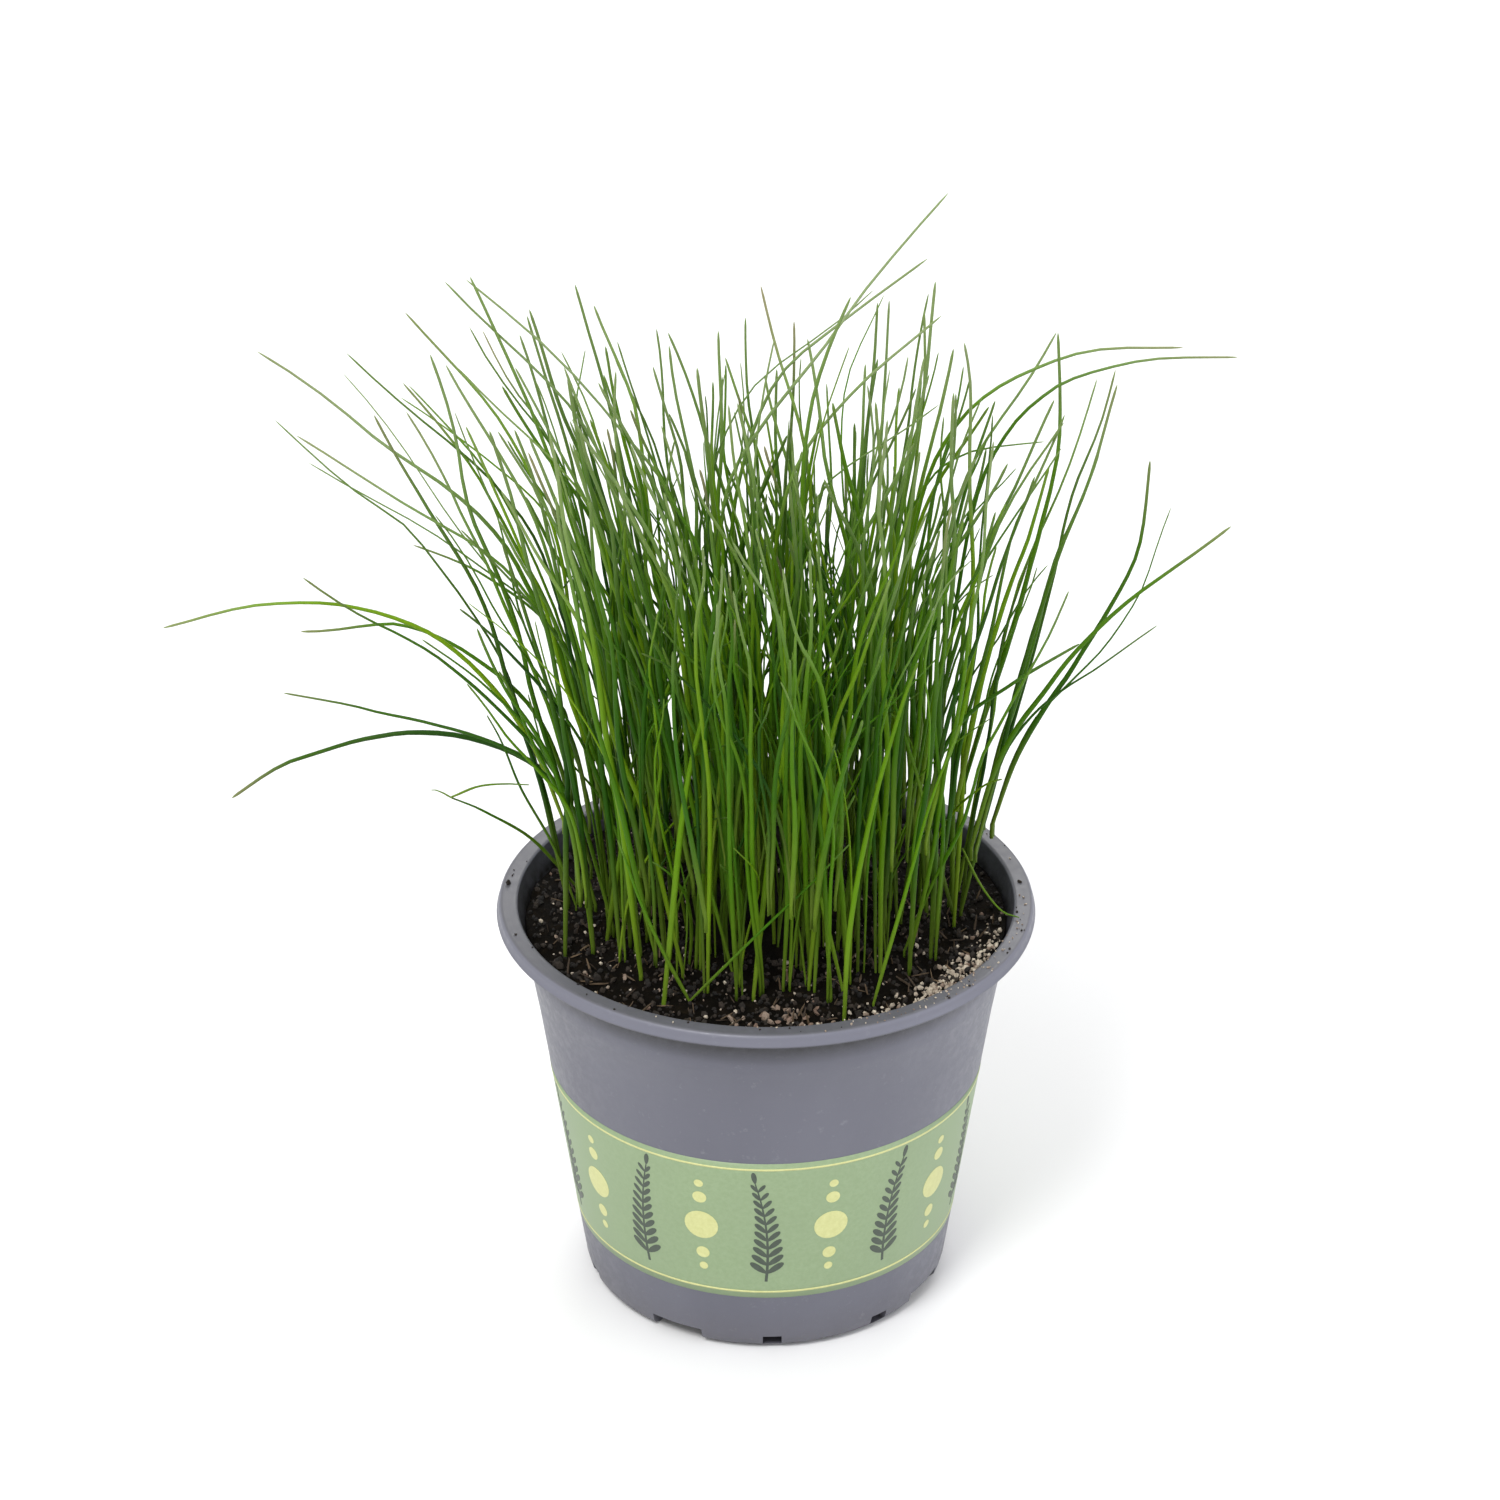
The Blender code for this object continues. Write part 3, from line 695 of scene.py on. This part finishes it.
class Grains:
    """Many small lumps in one mesh, each with its own shape, turn and shade."""

    def __init__(self, seed):
        self.rng = random.Random(seed)
        self.vertices = []
        self.faces = []
        self.shades = []
        self.count = 0
        self.ball = lump_shape()

    def add(self, place, size, stretch=(1, 1, 1), shade=None, dent=0.28):
        """A lump with its half-width; stretch gives its shape, dent how uneven it is."""
        vertices, faces = self.ball
        rng = self.rng
        turn = np.array(Euler([rng.uniform(0, 6.28) for _ in range(3)]).to_matrix())
        dents = np.array([1 + rng.uniform(-dent, dent) for _ in range(len(vertices))])
        shape = vertices * dents[:, None] * np.array(stretch) * size
        shape = shape @ turn.T + np.array(place)
        self.vertices.append(shape)
        self.faces += [[i + self.count for i in face] for face in faces]
        shade = rng.random() if shade is None else shade
        self.shades += [shade] * len(vertices)
        self.count += len(vertices)

    def piece(self, name, material):
        mesh = mesh_from(name, np.vstack(self.vertices), self.faces, material, smooth=False)
        set_attribute(mesh, "shade", self.shades)
        return add_piece(name, mesh, "soil")


def spot_in_pot(rng, inner, outer):
    """A random place on the soil, evenly spread between two shares of its radius."""
    radius = SOIL_RADIUS * math.sqrt(rng.uniform(inner ** 2, outer ** 2))
    angle = rng.uniform(0, 2 * math.pi)
    x, y = radius * math.cos(angle), radius * math.sin(angle)
    return Vector((x, y, soil_height(x, y)))


def make_crumbs(peat, grit, fibre):
    """Loose crumbs, grit and fibres on the soil, and a few crumbs on the rim."""
    rng = random.Random(SEED)
    crumbs = Grains(SEED + 1)
    for _ in range(PEAT_CRUMBS):
        spot = spot_in_pot(rng, 0.35, 0.985)
        size = rng.triangular(0.25, 1.25, 0.4) * MM
        crumbs.add(spot + Vector((0, 0, size * rng.uniform(0.0, 0.6))), size,
                   (1, rng.uniform(0.6, 1.0), rng.uniform(0.5, 0.9)))
    crumbs.piece("soil_crumbs", peat)

    pale = Grains(SEED + 2)
    for _ in range(PALE_GRAINS):
        spot = spot_in_pot(rng, 0.30, 0.985)
        size = rng.triangular(0.15, 0.80, 0.28) * MM
        pale.add(spot + Vector((0, 0, size * 0.8)), size, (1, 0.8, rng.uniform(0.5, 0.9)))
    for _ in range(HEAP_GRAINS):
        angle = math.radians(rng.gauss(HEAP_ANGLE, 14))
        radius = SOIL_RADIUS - abs(rng.gauss(0, 4.2)) * MM + 0.6 * MM
        x, y = radius * math.sin(angle), -radius * math.cos(angle)
        size = rng.triangular(0.2, 1.05, 0.35) * MM
        height = max(soil_height(x, y), SOIL_TOP)
        pale.add(Vector((x, y, height + size * rng.uniform(0.2, 1.0))), size,
                 (1, 0.8, rng.uniform(0.4, 0.9)), shade=rng.betavariate(1.5, 1.2))
    for _ in range(BROWN_CHIPS):
        spot = Vector((rng.gauss(6, 6) * MM, rng.gauss(-49, 3) * MM, 0))
        spot.z = soil_height(spot.x, spot.y)
        size = rng.triangular(0.4, 1.5, 0.8) * MM
        pale.add(spot + Vector((0, 0, size * 0.5)), size, (1, 0.7, 0.4), shade=rng.uniform(0.0, 0.3))
    for _ in range(RIM_GRAINS):
        angle = math.radians(rng.gauss(48, 24))
        radius = rng.uniform(RIM_INNER_RADIUS + 0.3 * MM, RIM_RADIUS - 1.2 * MM)
        size = rng.triangular(0.12, 0.42, 0.18) * MM
        pale.add((radius * math.sin(angle), -radius * math.cos(angle), POT_HEIGHT + size * 0.3), size,
                 (1, 0.9, 0.6))
    pale.piece("soil_grit", grit)

    on_rim = Grains(SEED + 3)
    for _ in range(RIM_CRUMBS):
        angle = rng.uniform(0, 2 * math.pi)
        radius = rng.uniform(RIM_INNER_RADIUS + 0.5 * MM, RIM_RADIUS - 1.0 * MM)
        size = rng.triangular(0.1, 0.42, 0.15) * MM
        on_rim.add((radius * math.cos(angle), radius * math.sin(angle), POT_HEIGHT + size * 0.3), size)
    for x, y, size in BIG_RIM_CRUMBS:
        on_rim.add((x * MM, y * MM, POT_HEIGHT + size * 0.4 * MM), size * MM, (1.4, 0.8, 0.6))
    on_rim.piece("rim_crumbs", peat)

    fibres = Grains(SEED + 4)
    for _ in range(FIBRES):
        spot = spot_in_pot(rng, 0.3, 0.96)
        size = rng.uniform(1.2, 3.6) * MM
        spot.z += rng.uniform(0.1, 0.8) * MM
        fibres.add(spot, size, (1, 0.09, 0.09), dent=0.12)
    fibres.piece("soil_fibres", fibre)


# ---------------------------------------------------------------- leaves

def centre_lines(node):
    """The leaves of a CAD plant as lists of points, read from the rings of its mesh."""
    maker = bmesh.new()
    maker.from_mesh(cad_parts[node].data)
    bmesh.ops.remove_doubles(maker, verts=maker.verts, dist=0.002 * MM)
    maker.verts.index_update()
    heights = sorted(vert.co.z for vert in maker.verts)
    bulb_top = heights[BULB_POINTS - 1]
    body = {vert for vert in maker.verts if vert.co.z < bulb_top + 0.01 * MM}
    lines = []
    seen = set(body)
    for start in maker.verts:
        if start in seen:
            continue
        cluster = {start}
        todo = [start]
        while todo:
            vert = todo.pop()
            for edge in vert.link_edges:
                other = edge.other_vert(vert)
                if other not in cluster and other not in body:
                    cluster.add(other)
                    todo.append(other)
        seen |= cluster
        ring = {edge.other_vert(vert) for vert in cluster for edge in vert.link_edges} & body
        used = set(body)
        line = []
        while ring:
            corners = sorted(ring, key=lambda vert: vert.index)
            line.append(sum((vert.co for vert in corners), Vector()) / len(corners))
            used |= ring
            ring = {edge.other_vert(vert) for vert in ring for edge in vert.link_edges} - used
            ring &= cluster
        lines.append(line)
    maker.free()
    return lines


def smooth_line(points, count):
    """Evenly timed points on a smooth curve through the given ones."""
    padded = [2 * points[0] - points[1], *points, 2 * points[-1] - points[-2]]
    made = []
    spans = len(points) - 1
    for i in range(count + 1):
        t = min(i / count * spans, spans - 1e-6)
        span = int(t)
        t -= span
        a, b, c, d = padded[span:span + 4]
        made.append(0.5 * ((2 * b) + (c - a) * t + (2 * a - 5 * b + 4 * c - d) * t * t
                           + (3 * b - a - 3 * c + d) * t ** 3))
    return made


def leaf_profile(t):
    """Width of a leaf at a share t of its length: slim at the foot, full, then a round end."""
    foot = 0.62 + 0.38 * min(1, t / 0.22) ** 0.7
    body = 1 - 0.56 * t ** 1.35
    end = min(1, (1 - t) / 0.015) ** 0.5
    return foot * body * (0.15 + 0.85 * end)


class Leaves:
    """The leaves of one plant, as smooth tapered tubes in one mesh."""

    def __init__(self, rng):
        self.rng = rng
        self.vertices = []
        self.faces = []
        self.values = {"along": [], "end": [], "tone": [], "dryness": []}

    def add(self, line, width, steps=26, waviness=1.5, tone=None, dryness=None, sunk=True):
        """A leaf along a line. A sunk one goes on a little below its foot."""
        rng = self.rng
        tone = rng.betavariate(1.2, 1.3) if tone is None else tone
        dryness = (rng.random() < 0.05) * rng.uniform(0.4, 1.0) if dryness is None else dryness
        points = smooth_line(line, steps)
        offset = Vector((rng.uniform(-9, 9), rng.uniform(-9, 9), rng.uniform(-9, 9)))
        root = points[0] - Vector((0, 0, ROOT_DEPTH))
        length = sum((b - a).length for a, b in zip(points, points[1:]))
        for i, point in enumerate(points):
            t = i / steps
            wave = noise.noise_vector(offset + Vector((0, 0, t * length / WAVE_LENGTH)))
            ripple = noise.noise_vector(offset * 2 + Vector((0, 0, t * length / RIPPLE_LENGTH)))
            swing = min(1, 2.5 * t) * min(1, 5 * (1 - t)) * (0.3 + t)
            point += (2.4 * wave + 0.12 * ripple) * waviness * MM * swing
        # Two more rings near the end, for its round shape
        near_end = [points[-2].lerp(points[-1], share) for share in (0.6, 0.88)]
        points[-1:] = [*near_end, points[-1]]
        shares = [i / steps for i in range(steps)] + [1 - 0.4 / steps, 1 - 0.12 / steps, 1]
        if sunk:
            points.insert(0, root)
            shares.insert(0, 0)
        flat = rng.uniform(0.80, 1.0)
        twist = rng.uniform(0, math.pi)
        axis_a = Vector((math.cos(twist), math.sin(twist), 0))
        start = len(self.vertices)
        last = len(points) - 1
        for i, point in enumerate(points):
            ahead = points[min(i + 1, last)] - points[max(i - 1, 0)]
            tangent = ahead.normalized()
            axis_a = (axis_a - tangent * axis_a.dot(tangent)).normalized()
            axis_b = tangent.cross(axis_a)
            t = shares[i]
            uneven = 1 + 0.10 * noise.noise(offset * 3 + Vector((t * 9, 0, 0)))
            radius = width / 2 * leaf_profile(t) * uneven
            for side in range(LEAF_SIDES):
                angle = 2 * math.pi * side / LEAF_SIDES
                spoke = axis_a * math.cos(angle) + axis_b * math.sin(angle) * flat
                self.vertices.append(point + spoke * radius)
            self.values["along"] += [min(1, t * length / LONG_LEAF)] * LEAF_SIDES
            self.values["end"] += [t] * LEAF_SIDES
        end = start + last * LEAF_SIDES
        for a in range(start, end, LEAF_SIDES):
            b = a + LEAF_SIDES
            for side in range(LEAF_SIDES):
                after = (side + 1) % LEAF_SIDES
                self.faces.append([a + side, a + after, b + after, b + side])
        self.faces.append([start + side for side in reversed(range(LEAF_SIDES))])
        self.faces.append([end + side for side in range(LEAF_SIDES)])
        count = len(self.vertices) - start
        self.values["tone"] += [tone] * count
        self.values["dryness"] += [dryness] * count

    def piece(self, name, material, *nodes):
        mesh = mesh_from(name, self.vertices, self.faces, material)
        for key, values in self.values.items():
            set_attribute(mesh, key, values)
        return add_piece(name, mesh, "chive_leaf", *nodes)


def kept_in_box(line):
    """The same leaf, made shorter until it is inside the box of the CAD model."""
    low, high = cad_box
    while any(point[axis] < low[axis] + BOX_MARGIN or point[axis] > high[axis] - BOX_MARGIN
              for point in line for axis in range(3)):
        line = [line[0] + (point - line[0]) * 0.95 for point in line]
    return line


def side_shoot(rng, line, tall):
    """A thinner leaf from beside the foot of another: a short upright one, or a tall one that
    leans out further than its neighbour as it rises."""
    foot = line[0]
    reach = line[-1] - foot
    lean_out = math.hypot(reach.x, reach.y) / reach.z
    outer = abs(foot.x) > OUTER_PLANTS
    if not tall:
        share = rng.triangular(0.40, 0.95, 0.72)
        spread = rng.uniform(0.0, 0.6) if outer else rng.uniform(0.15, 0.95)
    else:
        share = rng.uniform(0.80, 1.0) * (1 if lean_out < FAR_LEAN else 0.82)
        spread = rng.uniform(0.9, 1.6) if outer else rng.uniform(0.5, 1.4)
        spread *= min(1, FAR_LEAN / lean_out)
    axis = Vector((rng.gauss(0, 1), rng.gauss(0, 1), 0)).normalized()
    lean = Matrix.Rotation(math.radians(rng.gauss(0, 9 - 4 * share)), 3, axis)
    shift = Vector((rng.uniform(-1.5, 1.5), rng.uniform(-1.5, 1.5), 0)) * MM
    points = []
    for i, point in enumerate(line):
        way = point - foot
        out = spread * (0.5 + 0.5 * i / (len(line) - 1))
        points.append(foot + shift + lean @ Vector((way.x * out, way.y * out, way.z)) * share)
    return points


def crossing_leaf(rng, line):
    """A thin young leaf that arches across its neighbours."""
    foot = line[0] + Vector((rng.uniform(-2, 2), rng.uniform(-2, 2), 0)) * MM
    heading = rng.uniform(0, 2 * math.pi)
    turn = rng.gauss(0, 0.5)
    lean, length = math.radians(rng.triangular(8, 40, 18)), rng.triangular(35, 125, 60) * MM
    points = [foot]
    for part in range(5):
        angle = lean * (0.35 + 0.33 * part)
        out = Vector((math.cos(heading), math.sin(heading), 0))
        way = out * math.sin(angle) + Vector((0, 0, math.cos(angle)))
        points.append(points[-1] + way * length / 5)
        heading += turn
    return points


def millimetres(*places):
    return [Vector(place) * MM for place in places]


# Leaves that stand out, with their widths in millimetres and tones. Thin ones low down: a kinked
# one at the left with another behind it, two that cross in front, and one that has sunk onto the
# rim at the right.
LOOSE_LEAVES = (
    (millimetres((-46, 12, 97), (-56, 5, 114), (-66, 0, 124), (-75, -4, 131)), 0.95, 0.5),
    (millimetres((-75, -4, 131), (-67, -5, 134.5), (-56, -6, 135.5)), 0.8, 0.6),
    (millimetres((-74.5, -4, 130.8), (-77, -4, 132), (-79.5, -4, 133)), 0.5, 0.5),
    (millimetres((-46, 3, 97), (-51, 2, 114), (-58, 1, 130), (-62, 0, 142), (-66, 0, 151)), 0.85, 0.4),
    (millimetres((-18, -41, 97), (-24, -43, 112), (-30, -45, 129), (-34, -46, 143)), 1.1, 0.6),
    (millimetres((-18, -41, 97), (-8, -44, 110), (4, -45, 125), (19, -44, 141)), 0.9, 0.45),
    (millimetres((47, -2, 116), (51, -6, 109), (56, -9.5, 103.6), (60.5, -12, 102.6)), 0.7, 0.6),
    # Full ones in front of the clump, most of which lean to the right
    (millimetres((-38, -12, 97), (-34, -12, 122), (-26, -10, 152), (-17, -8, 177)), 1.7, 0.8),
    (millimetres((-24, -42, 97), (-21, -40, 127), (-18, -36, 154), (-13, -32, 176), (-10, -29, 192)),
     1.75, 0.8),
    (millimetres((-3, -38, 97), (-1, -35, 117), (2, -32, 143), (6, -29, 166), (9, -27, 182)), 1.5, 0.85),
    (millimetres((18, -49, 97), (19, -48, 119), (23, -44, 146), (29, -40, 170), (34, -37, 184)), 1.5, 0.8),
    (millimetres((25, -42, 97), (31, -40, 122), (37, -37, 145), (44, -33, 166)), 1.2, 0.75),
    (millimetres((18, -37, 97), (13, -35, 120), (9, -34, 140), (5, -31, 166)), 1.2, 0.8),
    (millimetres((-8, -28, 97), (-13, -26, 118), (-17, -24, 141), (-24, -22, 163)), 1.1, 0.7),
)


def make_loose_leaves(material):
    rng = random.Random(SEED + 6)
    leaves = Leaves(rng)
    for line, width, tone in LOOSE_LEAVES:
        leaves.add(line, width * MM, steps=20, waviness=0.4, tone=tone, sunk=line[0].z < SOIL_TOP + MM)
    leaves.piece("loose_leaves", material)


def make_plants(material):
    """Each CAD plant's own leaves, with thinner side shoots and young leaves that cross them."""
    rng = random.Random(SEED + 5)
    for node in PLANT_NODES:
        leaves = Leaves(rng)
        lines = centre_lines(node)
        for line in lines:
            dryness = rng.uniform(0.25, 0.5) if abs(line[-1].x) > FAR_TIP else None
            leaves.add(line, rng.triangular(1.05, 1.90, 1.35) * MM, dryness=dryness)
        foot = lines[0][0]
        if abs(foot.x) < MIDDLE_PLANTS:
            short_shoots, tall_shoots = 1, 2 + int(foot.x > 0)
        elif abs(foot.x) > OUTER_PLANTS:
            short_shoots, tall_shoots = 1, 2
        else:
            short_shoots, tall_shoots = 2, int(foot.x > 0)
        for index, line in enumerate(lines[:short_shoots + tall_shoots]):
            tall = index >= short_shoots
            shoot = kept_in_box(side_shoot(rng, line, tall))
            width = rng.triangular(0.65, 1.3, 0.9) * (1.0 if tall else 1.15) * MM
            leaves.add(shoot, width, steps=22, waviness=2.4)
        if math.hypot(foot.x, foot.y) < INNER_PLANTS:
            crossing = 3
        else:
            crossing = 1 if abs(foot.x) < EDGE_PLANTS else 0
        for line in lines[:crossing]:
            thin = kept_in_box(crossing_leaf(rng, line))
            leaves.add(thin, rng.triangular(0.5, 1.1, 0.7) * MM, steps=18, waviness=1.0, dryness=0)
        leaves.piece(node.replace("chive_plant", "leaves"), material, node)


# ---------------------------------------------------------------- stage

def make_stage():
    """A pale floor under an even bright dome, with three soft lights."""
    scene = bpy.context.scene
    floor_maker = bmesh.new()
    bmesh.ops.create_grid(floor_maker, x_segments=1, y_segments=1, size=4)
    mesh = bpy.data.meshes.new("floor")
    floor_maker.to_mesh(mesh)
    floor_maker.free()
    n = Nodes("floor")
    n.set(Base_Color=(0.79, 0.79, 0.79), Roughness=0.8)
    mesh.materials.append(n.material)
    floor = bpy.data.objects.new("floor", mesh)
    scene.collection.objects.link(floor)

    world = bpy.data.worlds.new("studio")
    world.use_nodes = True
    dome = world.node_tree
    background = dome.nodes["Background"]
    direction = dome.nodes.new("ShaderNodeTexCoord")
    height = dome.nodes.new("ShaderNodeSeparateXYZ")
    strength = dome.nodes.new("ShaderNodeMapRange")
    strength.interpolation_type = "SMOOTHSTEP"
    dome.links.new(direction.outputs["Generated"], height.inputs["Vector"])
    dome.links.new(height.outputs["Z"], strength.inputs["Value"])
    for name, number in (("From Min", 0.0), ("From Max", 0.9), ("To Min", 0.83), ("To Max", 1.00)):
        strength.inputs[name].default_value = number
    dome.links.new(strength.outputs["Result"], background.inputs["Strength"])
    background.inputs["Color"].default_value = (1.0, 1.0, 1.0, 1)
    scene.world = world
    scene.view_settings.view_transform = "Standard"

    def softbox(name, place, target, size, power, colour=(1, 1, 1)):
        light = bpy.data.lights.new(name, "AREA")
        light.shape = "SQUARE"
        light.size = size
        light.energy = power
        light.color = colour
        lamp = bpy.data.objects.new(name, light)
        lamp.location = place
        lamp.rotation_euler = (Vector(target) - Vector(place)).to_track_quat("-Z", "Y").to_euler()
        scene.collection.objects.link(lamp)

    softbox("key", (-0.40, -0.75, 1.20), (0, 0, 0.12), 0.45, 13.0)
    softbox("side", (1.0, -0.35, 0.45), (0, 0, 0.08), 0.7, 3.0, (0.86, 0.88, 1.0))
    softbox("back", (0.2, 1.0, 1.0), (0, 0, 0.15), 0.8, 6.0)


def make_camera():
    """A camera about 1.1 m from the pot, looking down on it."""
    camera = bpy.data.cameras.new("camera")
    camera.sensor_width = SENSOR
    camera.lens = LENS
    camera.clip_start = 0.05
    holder = bpy.data.objects.new("camera", camera)
    holder.location = (CAMERA_SIDE, -CAMERA_DISTANCE * math.cos(CAMERA_ELEVATION),
                       POT_HEIGHT / 2 + CAMERA_DISTANCE * math.sin(CAMERA_ELEVATION))
    holder.rotation_euler = (math.pi / 2 - CAMERA_PITCH, 0, 0)
    bpy.context.scene.collection.objects.link(holder)
    bpy.context.scene.camera = holder


def main():
    make_camera()
    make_stage()
    make_pot(pot_material())
    make_band(print_material("print_sage", (0.225, 0.310, 0.165), (0.262, 0.345, 0.198)),
              print_material("print_ink", (0.040, 0.056, 0.040), (0.060, 0.080, 0.058)),
              print_material("print_straw", (0.52, 0.53, 0.22), (0.60, 0.61, 0.28)))
    make_soil(soil_material())
    make_crumbs(grain_material("peat_crumb", (0.003, 0.002, 0.0015), (0.028, 0.019, 0.012), 0.95),
                grain_material("grit", (0.17, 0.105, 0.075), (0.62, 0.55, 0.44), 0.85),
                grain_material("fibre", (0.030, 0.018, 0.010), (0.15, 0.10, 0.055), 0.9))
    leaf = leaf_material()
    make_plants(leaf)
    make_loose_leaves(leaf)


main()
